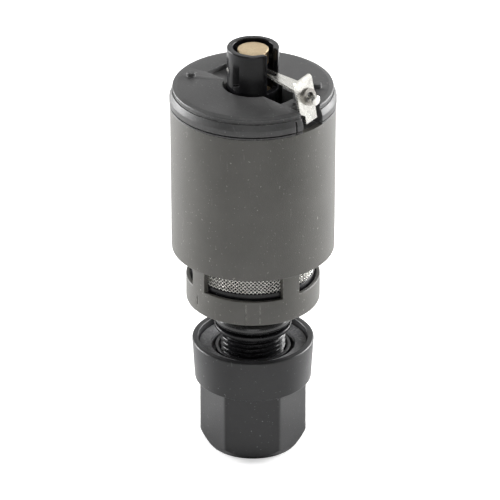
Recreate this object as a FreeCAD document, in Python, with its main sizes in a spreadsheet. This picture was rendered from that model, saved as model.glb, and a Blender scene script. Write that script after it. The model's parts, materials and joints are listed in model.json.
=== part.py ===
import FreeCAD, Part
import math
import os

import Sketcher

# Automatic float drain valve, millimetres.
# +Z runs up the valve's axis, the origin is the centre of the nut's bottom face, the lever points along +X.

doc = FreeCAD.newDocument("FloatDrain")
sheet = doc.addObject("Spreadsheet::Sheet", "Sizes")

driving = [
    # bowl nut
    ("nutFlats", 24.0), ("hexTurn", -16.0), ("hexHeight", 18.7), ("hexCornerRadius", 13.7),
    ("hexFootRadius", 11.6), ("hexFootChamfer", 3.3), ("skirtBaseRadius", 15.0), ("skirtTopRadius", 15.7),
    ("nutHeight", 30.0),
    ("dishRadius", 14.05), ("dishFloor", 27.0), ("collarRadius", 9.7), ("collarTop", 27.7),
    ("collarMouth", 8.95), ("collarGroove", 10.7), ("grooveFloor", 24.6), ("nutThread", 8.58),
    ("threadFloor", 11.8), ("outletRadius", 5.72), ("outletDepth", 11.0), ("outletThroat", 4.6),
    # bowl washer
    ("washerInner", 10.8), ("washerOuter", 13.9), ("washerThick", 1.1), ("seatGap", 0.05),
    # drain stem, neck and seal
    ("stemRadius", 8.33), ("stemFoot", 15.5), ("stemChamfer", 0.8), ("flangeBase", 33.3),
    ("flangeThick", 1.05), ("flangeRadius", 9.9), ("neckRadius", 6.6), ("neckTop", 38.0),
    ("shoulderRadius", 8.9), ("sealSection", 1.72), ("sealCentreRadius", 8.32), ("poppetBore", 5.4),
    ("seatTop", 26.0), ("rodBore", 3.6), ("spigotRadius", 6.9), ("spigotTop", 45.2),
    # strainer cage and mesh
    ("cageBase", 41.7), ("cageFloor", 1.5), ("cageRadius", 17.15), ("cageWall", 1.3),
    ("ringTop", 48.6), ("cagePostWidth", 5.0), ("plateBase", 55.0), ("plateTop", 56.2),
    ("cageTurn", -10.0), ("meshRadius", 15.6), ("meshThick", 0.45),
    ("hoopRadius", 15.75), ("hoopWall", 0.65), ("hoopTop", 50.1),
    # guide tube
    ("tubeRadius", 6.6), ("tubeBore", 5.1), ("tubeTop", 112.3), ("boreFloor", 94.7),
    ("airBore", 4.0), ("tubeFlangeThick", 1.2), ("slotFloor", 101.7), ("slotNear", -1.45),
    ("slotWidth", 4.5), ("ventAngle", -86.0), ("ventHeight", 103.7), ("ventLength", 2.1),
    ("ventWidth", 0.45), ("ventTilt", 20.0),
    # piston cylinder
    ("cylinderOuter", 10.6), ("cylinderBore", 9.4), ("cylinderBase", 43.3), ("gasketThick", 0.5),
    ("windowHeight", 2.7), ("windowWidth", 6.0),
    # piston, rod and poppet
    ("pistonBase", 48.4), ("pistonTop", 51.8), ("pistonRadius", 9.1), ("pistonSealMid", 50.1),
    ("pistonSealSection", 0.8), ("springPocketInner", 3.9), ("springPocketOuter", 6.3),
    ("springPocketTop", 50.6), ("rodRadius", 1.25), ("rodFoot", 18.2), ("seatBore", 3.0),
    ("seatBase", 24.0), ("poppetRadius", 4.3), ("poppetTop", 22.4), ("poppetBase", 19.8),
    ("clipTop", 19.7), ("clipThick", 0.8), ("clipRadius", 2.4),
    ("springRadius", 5.05), ("springWire", 0.35), ("springTurns", 3.0),
    # pilot seat and plunger
    ("pilotSealThick", 1.2), ("pilotSeatTop", 99.6), ("pilotGuideBore", 2.3), ("pilotGuideOuter", 3.3),
    ("pilotGuideTop", 102.6), ("pilotBore", 0.6), ("nozzleRadius", 1.1), ("nozzleTop", 100.2),
    ("padRadius", 1.9), ("padBase", 100.25), ("padTop", 101.7), ("footBase", 100.8),
    ("footTop", 102.9), ("footRadius", 2.22), ("plungerStem", 0.6), ("plungerCollar", 1.3),
    ("collarBase", 107.05), ("headBase", 108.0), ("headTop", 111.75), ("headRadius", 3.95),
    # lever, its pin and its end plate
    ("pivotX", -3.2), ("pivotZ", 106.65), ("pivotPin", 0.6), ("pivotPinLength", 11.2),
    ("eyeRadius", 1.1), ("eyeBore", 0.65), ("tineInner", 0.7), ("tineOuter", 1.3),
    ("forkEnd", 8.4), ("leverThick", 0.7), ("stripNear", -3.0), ("stripFar", 1.8),
    ("plateX", 16.9), ("plateTopZ", 109.7), ("plateLean", 13.0), ("plateThick", 0.7),
    ("plateHalf", 3.0), ("plateHeight", 12.15), ("plateShoulder", 9.0), ("plateSlope", 1.05),
    ("tongueNear", -1.4), ("tongueFar", 2.5), ("plateHole", 1.65), ("eyeletOuter", 2.2), ("eyeletBore", 1.25),
    ("eyeletThick", 0.6),
    # float
    ("floatBase", 56.3), ("floatBaseRadius", 20.8), ("floatRadius", 21.0), ("floatTop", 96.3),
    ("floatWall", 1.5), ("floatBore", 7.7), ("floatBoreWall", 1.3), ("wellFloor", 94.9),
    ("lidFlange", 21.15), ("lipBase", 96.42), ("lipTop", 96.8), ("lidWallBase", 97.15),
    ("lidGroove", 20.15), ("lidWallBend", 98.7), ("lidWallTop", 100.25),
    ("lidBeadBase", 101.2), ("lidDeck", 101.9), ("lidDeckThick", 1.8),
    ("lidShoulder", 20.45), ("nearFloor", 90.0), ("lidSkirt", 19.45), ("slotHalf", 3.4), ("slotEnd", 13.2),
    ("slotFarFloor", 100.5), ("notchStart", 16.4), ("notchNear", -3.25), ("notchWidth", 7.05),
    ("notchFloor", 96.2), ("pegRadius", 1.1), ("pegHeight", 1.1), ("pegPitch", 16.3),
    ("pegAngleA", -151.0), ("pegAngleB", 38.0), ("ribSlitAngle", -14.6), ("ribSlitWidth", 0.5),
    # float pin and its post
    ("pinZ", 104.35), ("pinY", 0.7), ("pinShank", 0.5), ("pinHead", 1.3), ("pinStart", 14.9),
    ("pinHeadStart", 20.35), ("pinEnd", 21.8), ("postX", 14.7), ("postLength", 1.5),
    ("postY", -0.5), ("postWidth", 2.4), ("postTop", 105.4),
]
for row, (alias, value) in enumerate(driving, start=1):
    sheet.set(f"A{row}", alias)
    sheet.set(f"B{row}", str(value))
    sheet.setAlias(f"B{row}", alias)
doc.recompute()


class Size:
    # a number together with the sheet expression that it comes from
    def __init__(self, value, text):
        self.value = value
        self.text = text

    def join(self, other, sign, value):
        text = other.text if isinstance(other, Size) else repr(float(other))
        return Size(value, f"({self.text} {sign} {text})")

    def __add__(self, other):
        return self.join(other, "+", self.value + number(other))

    def __sub__(self, other):
        return self.join(other, "-", self.value - number(other))

    def __mul__(self, other):
        return self.join(other, "*", self.value * number(other))

    def __truediv__(self, other):
        return self.join(other, "/", self.value / number(other))


def number(size):
    return size.value if isinstance(size, Size) else float(size)


class Sizes:
    # s.floatRadius is the sheet cell of that name
    def __getattr__(self, alias):
        return Size(float(sheet.get(alias)), f"Sizes.{alias}")


s = Sizes()


def bind(feature, path, size):
    if isinstance(size, Size):
        feature.setExpression(path, size.text)
    else:
        feature.setExpression(path, repr(float(size)))


def place(feature, at=(0, 0, 0), axis=(0, 0, 1), angle=0):
    # a placement whose position and angle follow the sheet
    direction = FreeCAD.Vector(*axis)
    spot = FreeCAD.Vector(*[number(size) for size in at])
    feature.Placement = FreeCAD.Placement(spot, FreeCAD.Rotation(direction, number(angle)))
    for letter, size in zip("xyz", at):
        if isinstance(size, Size):
            bind(feature, f"Placement.Base.{letter}", size)
    if isinstance(angle, Size):
        bind(feature, "Placement.Rotation.Angle", angle)
    return feature


def origin_plane(body, role):
    return next(item for item in body.Origin.OriginFeatures if item.Role == role)


def outline(body, name, role, points):
    # a closed outline whose every corner is dimensioned from the origin
    sketch = body.newObject("Sketcher::SketchObject", name)
    sketch.AttachmentSupport = [(origin_plane(body, role), "")]
    sketch.MapMode = "FlatFace"
    corners = [FreeCAD.Vector(number(across), number(up), 0) for across, up in points]
    for index, corner in enumerate(corners):
        sketch.addGeometry(Part.LineSegment(corner, corners[(index + 1) % len(corners)]), False)
    for index in range(len(corners)):
        sketch.addConstraint(Sketcher.Constraint("Coincident", index, 2, (index + 1) % len(corners), 1))
    for index, (across, up) in enumerate(points):
        for kind, size, axis in (("DistanceX", across, -2), ("DistanceY", up, -1)):
            if number(size) == 0:
                sketch.addConstraint(Sketcher.Constraint("PointOnObject", index, 1, axis))
                continue
            made = sketch.addConstraint(Sketcher.Constraint(kind, -1, 1, index, 1, number(size)))
            bind(sketch, f"Constraints[{made}]", size)
    sketch.Visibility = False
    return sketch


def turn(body, points, cut=False, name="Profile"):
    # a profile of (radius, height) corners turned round the axis, added or cut
    sketch = outline(body, name, "XZ_Plane", points)
    feature = body.newObject("PartDesign::Groove" if cut else "PartDesign::Revolution", "Turned")
    feature.Profile = sketch
    feature.ReferenceAxis = (sketch, ["V_Axis"])
    feature.Angle = 360.0
    doc.recompute()
    return feature


def turned(label, points, cuts=()):
    body = doc.addObject("PartDesign::Body", label)
    body.Label = label
    turn(body, points)
    for corners in cuts:
        before = body.Shape.Volume
        turn(body, corners, cut=True)
        if body.Shape.Volume >= before - 1e-6:
            raise RuntimeError(f"{label}: a groove cut nothing")
    return body


def ring(label, inner, outer, base, top):
    return turned(label, [(inner, base), (outer, base), (outer, top), (inner, top)])


def box(name, length, width, height, at, axis=(0, 0, 1), angle=0):
    block = doc.addObject("Part::Box", name)
    for path, size in (("Length", length), ("Width", width), ("Height", height)):
        bind(block, path, size)
    return place(block, at, axis, angle)


def rod(name, radius, height, at, axis=(0, 0, 1), angle=0):
    bar = doc.addObject("Part::Cylinder", name)
    bind(bar, "Radius", radius)
    bind(bar, "Height", height)
    return place(bar, at, axis, angle)


def torus(label, centre_radius, section, height):
    seal = doc.addObject("Part::Torus", label)
    seal.Label = label
    bind(seal, "Radius1", centre_radius)
    bind(seal, "Radius2", section)
    return place(seal, (0, 0, height))


def spun(name, shape, angle):
    # turns a placed tool about the valve's axis
    holder = doc.addObject("Part::Compound", name)
    holder.Links = [shape]
    return place(holder, (0, 0, 0), (0, 0, 1), angle)


def fuse(name, shapes):
    whole = doc.addObject("Part::MultiFuse", name)
    whole.Shapes = shapes
    whole.Refine = True
    return whole


def cut(name, base, tools):
    # base with every tool taken away; the volume has to fall
    doc.recompute()
    volume = base.Shape.Volume
    for index, tool in enumerate(tools):
        result = doc.addObject("Part::Cut", f"{name}_{index}")
        result.Base = base
        result.Tool = tool
        result.Refine = True
        base = result
    doc.recompute()
    if base.Shape.Volume >= volume - 1e-6:
        raise RuntimeError(f"{name}: a cut removed nothing")
    base.Label = name
    return base


parts = []


def keep(feature, label=None):
    if label:
        feature.Label = label
    parts.append(feature)
    return feature


def bowl_nut():
    body = doc.addObject("PartDesign::Body", "bowl_nut")
    corner = s.nutFlats / math.sqrt(3)
    spokes = [math.radians(60 * side + number(s.hexTurn)) for side in range(6)]
    hexagon = [(corner * math.cos(spoke), corner * math.sin(spoke)) for spoke in spokes]
    sketch = outline(body, "Hexagon", "XY_Plane", hexagon)
    pad = body.newObject("PartDesign::Pad", "HexPad")
    pad.Profile = sketch
    bind(pad, "Length", s.hexHeight)
    doc.recompute()
    far = s.skirtTopRadius + 2
    turn(body, [(s.hexFootRadius, 0), (far, 0), (far, s.hexHeight), (s.hexCornerRadius, s.hexHeight),
                (s.hexCornerRadius, s.hexFootChamfer)], cut=True)
    turn(body, [(s.nutThread, s.hexHeight), (s.skirtBaseRadius - 0.4, s.hexHeight),
                (s.skirtBaseRadius, s.hexHeight + 0.4), (s.skirtTopRadius, s.nutHeight - 0.4),
                (s.skirtTopRadius - 0.4, s.nutHeight), (s.dishRadius + 0.2, s.nutHeight),
                (s.dishRadius, s.nutHeight - 0.2), (s.dishRadius, s.dishFloor),
                (s.collarGroove, s.dishFloor), (s.collarGroove, s.grooveFloor),
                (s.collarRadius, s.grooveFloor), (s.collarRadius, s.collarTop),
                (s.collarMouth, s.collarTop), (s.nutThread, s.collarTop - 0.6)])
    before = body.Shape.Volume
    turn(body, [(0, 0), (s.outletRadius + 0.5, 0), (s.outletRadius, 0.5), (s.outletRadius, s.outletDepth),
                (s.outletThroat, s.outletDepth), (s.outletThroat, s.threadFloor),
                (s.nutThread, s.threadFloor), (s.nutThread, s.hexHeight), (0, s.hexHeight)], cut=True)
    if body.Shape.Volume >= before:
        raise RuntimeError("bowl_nut: the bore was not cut")
    return body


def drain_stem():
    flange_top = s.flangeBase + s.flangeThick
    return turned("drain_stem", [
        (s.poppetBore, s.stemFoot), (s.stemRadius - s.stemChamfer, s.stemFoot),
        (s.stemRadius, s.stemFoot + s.stemChamfer), (s.stemRadius, s.flangeBase),
        (s.flangeRadius - 0.2, s.flangeBase), (s.flangeRadius, s.flangeBase + 0.2),
        (s.flangeRadius, flange_top), (s.neckRadius, flange_top), (s.neckRadius, s.neckTop),
        (s.shoulderRadius, s.neckTop), (s.shoulderRadius, s.cageBase), (s.spigotRadius, s.cageBase),
        (s.spigotRadius, s.spigotTop), (s.rodBore, s.spigotTop), (s.rodBore, s.seatTop),
        (s.poppetBore, s.seatTop)])


def strainer_cage():
    inner = s.cageRadius - s.cageWall
    floor_top = s.cageBase + s.cageFloor
    cup = turned("CageCup", [
        (s.spigotRadius + 0.02, s.cageBase), (s.cageRadius - 0.6, s.cageBase),
        (s.cageRadius, s.cageBase + 0.6), (s.cageRadius, s.ringTop - 0.2),
        (s.cageRadius - 0.2, s.ringTop), (inner, s.ringTop), (inner, floor_top),
        (s.spigotRadius + 0.02, floor_top)])
    plate = ring("CagePlate", s.tubeRadius + 0.03, s.cageRadius, s.plateBase, s.plateTop)
    posts = []
    for quarter in range(4):
        post = box(f"Post{quarter}", s.cageWall + 1, s.cagePostWidth, s.plateBase - s.ringTop + 1,
                   (inner, s.cagePostWidth * -0.5, s.ringTop - 0.5))
        posts.append(spun(f"PostTurn{quarter}", post, s.cageTurn + 90 * quarter))
    band = ring("PostBand", inner, s.cageRadius, s.ringTop - 0.5, s.plateBase + 0.5)
    legs = doc.addObject("Part::MultiCommon", "Posts")
    legs.Shapes = [band, fuse("PostBars", posts)]
    return fuse("strainer_cage", [cup, plate, legs])


def guide_tube():
    tube = turned("GuideTubeBlank", [
        (s.airBore, s.plateBase - s.tubeFlangeThick), (s.cylinderOuter, s.plateBase - s.tubeFlangeThick),
        (s.cylinderOuter, s.plateBase), (s.tubeRadius, s.plateBase), (s.tubeRadius, s.tubeTop - 0.25),
        (s.tubeRadius - 0.25, s.tubeTop), (s.tubeBore + 0.2, s.tubeTop), (s.tubeBore, s.tubeTop - 0.2),
        (s.tubeBore, s.boreFloor), (s.airBore, s.boreFloor)])
    slot = box("LeverSlot", s.tubeRadius + 2, s.slotWidth, s.tubeTop - s.slotFloor + 1,
               (0, s.slotNear, s.slotFloor))
    vent_bar = box("VentBar", s.tubeRadius, s.ventLength, s.ventWidth,
                   (s.airBore, s.ventLength * -0.5, 0), (1, 0, 0), s.ventTilt)
    vent = spun("VentTurn", vent_bar, s.ventAngle)
    bind(vent, "Placement.Base.z", s.ventHeight)
    half = s.pivotPinLength * 0.5
    pin_hole = rod("PivotHole", s.pivotPin, s.pivotPinLength + 2, (s.pivotX, half + 1, s.pivotZ),
                   (1, 0, 0), 90)
    return cut("guide_tube", tube, [slot, vent, pin_hole])


def piston_cylinder():
    top = s.plateBase - s.tubeFlangeThick - s.gasketThick
    cup = ring("CylinderCup", s.cylinderBore, s.cylinderOuter, s.cylinderBase, top)
    windows = []
    for turn_index in range(2):
        bar = box(f"Window{turn_index}", s.cylinderOuter * 2 + 2, s.windowWidth, s.windowHeight + 1,
                  (s.cylinderOuter * -1 - 1, s.windowWidth * -0.5, s.cylinderBase - 1))
        windows.append(spun(f"WindowTurn{turn_index}", bar, s.cageTurn + 45 + 90 * turn_index))
    return cut("piston_cylinder", cup, windows)


def piston():
    seal = s.pistonSealSection
    groove_floor = s.pistonRadius + 0.25 - seal * 2
    return turned("piston", [
        (s.rodRadius, s.pistonBase), (s.pistonRadius, s.pistonBase), (s.pistonRadius, s.pistonTop),
        (s.rodRadius, s.pistonTop)],
        cuts=[
            [(groove_floor, s.pistonSealMid - seal), (s.pistonRadius + 1, s.pistonSealMid - seal),
             (s.pistonRadius + 1, s.pistonSealMid + seal), (groove_floor, s.pistonSealMid + seal)],
            [(s.springPocketInner, s.pistonBase - 1), (s.springPocketOuter, s.pistonBase - 1),
             (s.springPocketOuter, s.springPocketTop), (s.springPocketInner, s.springPocketTop)]])


def return_spring():
    # a helix has no sheet-bound primitive that sweeps cleanly, so the wire is swept here from the cells
    wire = number(s.springWire)
    base = number(s.spigotTop) + 2 * wire
    length = number(s.springPocketTop) - number(s.spigotTop) - 4 * wire
    helix = Part.makeHelix(length / number(s.springTurns), length, number(s.springRadius))
    section = Part.Wire([Part.makeCircle(wire, FreeCAD.Vector(number(s.springRadius), 0, 0),
                                         FreeCAD.Vector(0, 1, 0))])
    coil = Part.Wire(helix.Edges).makePipeShell([section], True, True)
    spring = doc.addObject("Part::Feature", "return_spring")
    spring.Shape = coil
    spring.Placement = FreeCAD.Placement(FreeCAD.Vector(0, 0, base), FreeCAD.Rotation())
    return spring


def pilot_seat():
    base = s.boreFloor + s.pilotSealThick
    return turned("pilot_seat", [
        (s.pilotBore, base), (s.tubeBore, base), (s.tubeBore, s.pilotSeatTop),
        (s.pilotGuideOuter, s.pilotSeatTop), (s.pilotGuideOuter, s.pilotGuideTop),
        (s.pilotGuideBore, s.pilotGuideTop), (s.pilotGuideBore, s.pilotSeatTop),
        (s.nozzleRadius + 0.4, s.pilotSeatTop), (s.nozzleRadius, s.nozzleTop), (s.pilotBore, s.nozzleTop)])


def brass_plunger():
    return turned("brass_plunger", [
        (0, s.padTop), (s.padRadius, s.padTop), (s.padRadius, s.footBase), (s.footRadius, s.footBase),
        (s.footRadius, s.footTop), (s.plungerStem, s.footTop), (s.plungerStem, s.collarBase),
        (s.plungerCollar, s.collarBase), (s.plungerCollar, s.headBase), (s.headRadius, s.headBase),
        (s.headRadius, s.headTop - 0.3), (s.headRadius - 0.3, s.headTop), (0, s.headTop)])


def lever_strip():
    # the strip's plan: two tines inside the tube, one tapering blade outside it
    body = doc.addObject("PartDesign::Body", "LeverStrip")
    sketch = outline(body, "StripPlan", "XY_Plane", [
        (s.pivotX, s.tineOuter * -1), (s.forkEnd - 1.6, s.tineOuter * -1), (s.plateX + 0.7, s.stripNear),
        (s.plateX + 0.7, s.stripFar), (s.forkEnd - 1.6, s.tineOuter), (s.pivotX, s.tineOuter),
        (s.pivotX, s.tineInner), (s.forkEnd, s.tineInner), (s.forkEnd, s.tineInner * -1),
        (s.pivotX, s.tineInner * -1)])
    pad = body.newObject("PartDesign::Pad", "StripPad")
    pad.Profile = sketch
    bind(pad, "Length", s.leverThick)
    doc.recompute()
    return place(body, (0, 0, s.pivotZ - s.leverThick / 2))


def lever_plate():
    # the end plate, drawn flat on the body's YZ plane and leant outwards at the foot
    body = doc.addObject("PartDesign::Body", "LeverPlate")
    sketch = outline(body, "PlateFace", "YZ_Plane", [
        (s.plateHalf * -1, s.plateShoulder * -1), (s.tongueNear, s.plateShoulder * -1 - 0.9),
        (s.tongueNear, s.plateHeight * -1), (s.tongueFar, s.plateHeight * -1 + 0.6),
        (s.tongueFar, s.plateShoulder * -1), (s.plateHalf, s.plateShoulder * -1 + 2.4),
        (s.plateHalf, -0.9), (s.plateHalf - 0.6, 0), (s.plateHalf * -1, s.plateSlope * -1)])
    pad = body.newObject("PartDesign::Pad", "PlatePad")
    pad.Profile = sketch
    bind(pad, "Length", s.plateThick)
    doc.recompute()
    return place(body, (s.plateX, 0, s.plateTopZ), (0, 1, 0), s.plateLean * -1)


def float_lever():
    eyes = []
    for side in (-1, 1):
        near = s.tineInner if side > 0 else s.tineOuter * -1
        eyes.append(rod(f"Eye{side + 1}", s.eyeRadius, s.tineOuter - s.tineInner,
                        (s.pivotX, near, s.pivotZ), (1, 0, 0), -90))
    blank = fuse("LeverBlank", [lever_strip(), lever_plate()] + eyes)
    bore = rod("EyeBore", s.eyeBore, s.tineOuter * 2 + 2, (s.pivotX, s.tineOuter * -1 - 1, s.pivotZ),
               (1, 0, 0), -90)
    hole = rod("PlateHole", s.plateHole, 6, plate_point(-3), (0, 1, 0), s.plateLean * -1 + 90)
    return cut("float_lever", blank, [bore, hole])


def plate_point(out):
    # the point that lies so far out from the plate's inner face, on the float pin's line
    lean = math.radians(number(s.plateLean))
    down = (s.plateTopZ - s.pinZ) / math.cos(lean)
    return (s.plateX + down * math.sin(lean) + math.cos(lean) * out, s.pinY,
            s.plateTopZ - down * math.cos(lean) + math.sin(lean) * out)


def lever_eyelet():
    lean = s.plateLean * -1 + 90
    collar = rod("EyeletRing", s.eyeletOuter, s.eyeletThick, plate_point(number(s.plateThick)),
                 (0, 1, 0), lean)
    barrel = rod("EyeletBarrel", s.plateHole, s.plateThick + 0.1, plate_point(-0.1), (0, 1, 0), lean)
    bore = rod("EyeletBore", s.eyeletBore, 6, plate_point(-2), (0, 1, 0), lean)
    return cut("lever_eyelet", fuse("EyeletBlank", [collar, barrel]), [bore])


def float_shell():
    bore_outer = s.floatBore + s.floatBoreWall
    blank = turned("ShellBlank", [
        (s.floatBore, s.floatBase), (s.floatBaseRadius - 0.5, s.floatBase),
        (s.floatBaseRadius, s.floatBase + 0.5), (s.floatRadius, s.floatTop),
        (s.floatRadius - s.floatWall, s.floatTop),
        (s.floatBaseRadius - s.floatWall, s.floatBase + s.floatWall),
        (bore_outer, s.floatBase + s.floatWall), (bore_outer, s.wellFloor), (s.floatBore, s.wellFloor)])
    # the tube is open where the lid's lever well comes down beside it
    room = box("WellRoom", s.slotEnd, s.slotHalf * 2 + 2.4, 20,
               (s.floatBore + 0.1 - 1.0, s.slotHalf * -1 - 1.2, s.nearFloor - 1.2))
    return cut("float_shell", blank, [room])


def float_lid():
    collar = s.floatBore + s.floatBoreWall
    underside = s.lidDeck - s.lidDeckThick
    cap = turned("LidCap", [
        (s.floatBore, s.wellFloor), (collar, s.wellFloor), (collar, underside),
        (s.lidSkirt - 1.1, underside), (s.lidSkirt - 1.1, s.wellFloor), (s.lidSkirt, s.wellFloor),
        (s.lidSkirt, s.lipBase), (s.lidFlange, s.lipBase), (s.lidFlange, s.lipTop),
        (s.lidGroove, s.lipTop), (s.lidGroove, s.lidWallBase), (s.lidFlange, s.lidWallBase),
        (s.lidFlange, s.lidWallBend), (s.lidShoulder + 0.1, s.lidWallTop), (s.lidGroove, s.lidWallTop),
        (s.lidGroove, s.lidBeadBase),
        (s.lidShoulder, s.lidBeadBase), (s.lidShoulder - 0.2, s.lidDeck - 0.35),
        (s.lidShoulder - 0.6, s.lidDeck - 0.12), (s.lidShoulder - 1.3, s.lidDeck), (s.floatBore, s.lidDeck)])
    well_half = s.slotHalf + 1.2
    blocks = [
        box("LeverWell", s.slotEnd + 1.2 - s.floatBore - 0.1, well_half * 2,
            s.lidDeck - s.nearFloor + 0.7, (s.floatBore + 0.1, well_half * -1, s.nearFloor - 1.2)),
        box("FarWell", s.slotEnd + 1.2 - s.floatBore - 0.6, well_half * 2, 2.6,
            (s.slotEnd * -1 - 1.2, well_half * -1, s.slotFarFloor - 1.4)),
        box("NotchWell", s.lidSkirt - s.notchStart + 0.7, s.notchWidth + 2.4, s.lidDeck - s.wellFloor - 0.5,
            (s.notchStart - 1.2, s.notchNear - 1.2, s.wellFloor)),
        box("PinPost", s.postLength, s.postWidth, s.postTop - s.lidDeck + 1,
            (s.postX, s.postY, s.lidDeck - 1))]
    for index, angle in enumerate((s.pegAngleA, s.pegAngleB)):
        peg = rod(f"Peg{index}", s.pegRadius, s.pegHeight + 1, (s.pegPitch, 0, s.lidDeck - 1))
        blocks.append(spun(f"PegTurn{index}", peg, angle))
    tools = [
        box("NearSlot", s.slotEnd, s.slotHalf * 2, 15, (0, s.slotHalf * -1, s.nearFloor)),
        box("FarSlot", s.slotEnd, s.slotHalf * 2, 8, (s.slotEnd * -1, s.slotHalf * -1, s.slotFarFloor)),
        rod("Centre", s.floatBore, 25, (0, 0, s.nearFloor - 5)),
        box("Notch", s.lidFlange, s.notchWidth, 6, (s.notchStart, s.notchNear, s.notchFloor)),
        spun("SlitTurn", box("Slit", 4, s.ribSlitWidth, 3.6, (s.lidFlange - 1.3, 0, s.floatTop - 0.3)),
             s.ribSlitAngle),
        rod("PinHole", s.pinShank, 5, (s.pinStart, s.pinY, s.pinZ), (0, 1, 0), 90)]
    return cut("float_lid", fuse("LidBlank", [cap] + blocks), tools)


def float_pin():
    shank = rod("PinShank", s.pinShank, s.pinHeadStart - s.pinStart + 0.5, (s.pinStart, s.pinY, s.pinZ),
                (0, 1, 0), 90)
    head = rod("PinHead", s.pinHead, s.pinEnd - s.pinHeadStart, (s.pinHeadStart, s.pinY, s.pinZ),
               (0, 1, 0), 90)
    return fuse("float_pin", [shank, head])


washer_base = s.dishFloor + s.seatGap
seal_top = s.plateBase - s.tubeFlangeThick
keep(bowl_nut(), "bowl_nut")
keep(ring("bowl_washer", s.washerInner, s.washerOuter, washer_base, washer_base + s.washerThick))
keep(drain_stem())
keep(torus("neck_seal", s.sealCentreRadius, s.sealSection,
           s.flangeBase + s.flangeThick + s.sealSection + 0.05))
keep(strainer_cage())
keep(ring("strainer_hoop", s.hoopRadius - s.hoopWall, s.hoopRadius, s.cageBase + s.cageFloor, s.hoopTop))
keep(ring("strainer_mesh", s.meshRadius - s.meshThick, s.meshRadius, s.hoopTop, s.plateBase))
keep(guide_tube())
keep(ring("cylinder_gasket", s.cylinderBore, s.cylinderOuter, seal_top - s.gasketThick, seal_top))
keep(piston_cylinder())
keep(piston())
keep(torus("piston_seal", s.cylinderBore - s.pistonSealSection - 0.05, s.pistonSealSection, s.pistonSealMid))
keep(return_spring())
keep(rod("valve_rod", s.rodRadius, s.pistonTop - s.rodFoot, (0, 0, s.rodFoot)))
keep(ring("drain_poppet", s.rodRadius, s.poppetRadius, s.poppetBase, s.poppetTop))
keep(ring("poppet_seal", s.rodRadius, s.poppetRadius - 0.1, s.poppetTop, s.seatBase - s.seatGap))
keep(ring("rod_clip", s.rodRadius, s.clipRadius, s.clipTop - s.clipThick, s.clipTop))
keep(ring("drain_seat", s.seatBore, s.poppetBore, s.seatBase, s.seatTop))
keep(ring("pilot_seat_seal", s.airBore, s.tubeBore, s.boreFloor, s.boreFloor + s.pilotSealThick))
keep(pilot_seat())
keep(brass_plunger())
keep(turned("plunger_pad", [(0, s.padBase), (s.padRadius, s.padBase), (s.padRadius, s.padTop),
                            (0, s.padTop)]))
keep(rod("lever_pivot_pin", s.pivotPin, s.pivotPinLength, (s.pivotX, s.pivotPinLength * 0.5, s.pivotZ),
         (1, 0, 0), 90))
keep(float_lever())
keep(lever_eyelet())
keep(float_shell())
keep(float_lid())
keep(float_pin())

doc.recompute()
for feature in doc.Objects:
    if "Invalid" in feature.State or "Error" in feature.State:
        raise RuntimeError(f"{feature.Label} failed: {feature.State}")
for part in parts:
    if part.Shape.isNull() or not part.Shape.isValid():
        raise RuntimeError(f"{part.Label} has no valid shape")
    if len(part.Shape.Solids) != 1:
        raise RuntimeError(f"{part.Label} has {len(part.Shape.Solids)} solids")

os.makedirs("parts", exist_ok=True)
for part in parts:
    part.Shape.exportStep(f"parts/{part.Label}.step")
    extent = part.Shape.BoundBox
    print(f"{part.Label}: {part.Shape.Volume:.1f} mm3, z {extent.ZMin:.2f} to {extent.ZMax:.2f}")
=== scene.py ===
import json
import math

import bmesh
import bpy
from mathutils import Matrix, Vector


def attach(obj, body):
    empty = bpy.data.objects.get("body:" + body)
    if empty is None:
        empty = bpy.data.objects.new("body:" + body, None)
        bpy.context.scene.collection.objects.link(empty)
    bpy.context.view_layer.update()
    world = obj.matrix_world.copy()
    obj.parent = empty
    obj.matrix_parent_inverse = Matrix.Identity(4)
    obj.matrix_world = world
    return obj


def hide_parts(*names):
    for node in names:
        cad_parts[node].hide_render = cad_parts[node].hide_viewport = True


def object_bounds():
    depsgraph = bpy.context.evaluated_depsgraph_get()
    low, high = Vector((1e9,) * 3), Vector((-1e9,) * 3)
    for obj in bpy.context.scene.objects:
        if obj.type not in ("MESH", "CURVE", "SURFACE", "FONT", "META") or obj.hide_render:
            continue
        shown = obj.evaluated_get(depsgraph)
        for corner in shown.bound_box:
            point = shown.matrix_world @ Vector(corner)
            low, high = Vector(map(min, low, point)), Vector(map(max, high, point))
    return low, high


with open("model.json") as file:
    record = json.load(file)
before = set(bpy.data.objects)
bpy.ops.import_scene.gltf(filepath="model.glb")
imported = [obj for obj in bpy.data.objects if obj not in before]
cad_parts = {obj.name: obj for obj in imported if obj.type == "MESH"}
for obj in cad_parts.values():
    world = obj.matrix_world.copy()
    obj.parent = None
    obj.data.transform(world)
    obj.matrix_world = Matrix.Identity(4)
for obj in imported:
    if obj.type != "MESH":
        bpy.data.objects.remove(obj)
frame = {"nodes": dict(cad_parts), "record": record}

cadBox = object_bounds()
mm = 0.001
tau = 2 * math.pi
nodes = frame["nodes"]
scene = bpy.context.scene


# mesh helpers, all in millimetres until the vertex is made

def roundedOutline(outline, arcSteps=5):
    # corners given as (radius, height, rounding) become short arcs
    points = []
    count = len(outline)
    for i, corner in enumerate(outline):
        here = Vector(corner[:2])
        rounding = corner[2] if len(corner) > 2 else 0
        if not rounding:
            points.append(here)
            continue
        toBefore = Vector(outline[i - 1][:2]) - here
        toAfter = Vector(outline[(i + 1) % count][:2]) - here
        half = toBefore.angle(toAfter) / 2
        reach = min(rounding / math.tan(half), toBefore.length * 0.49, toAfter.length * 0.49)
        start = here + toBefore.normalized() * reach
        end = here + toAfter.normalized() * reach
        for step in range(arcSteps + 1):
            t = step / arcSteps
            points.append(start * (1 - t) ** 2 + here * 2 * t * (1 - t) + end * t ** 2)
    return points


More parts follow.
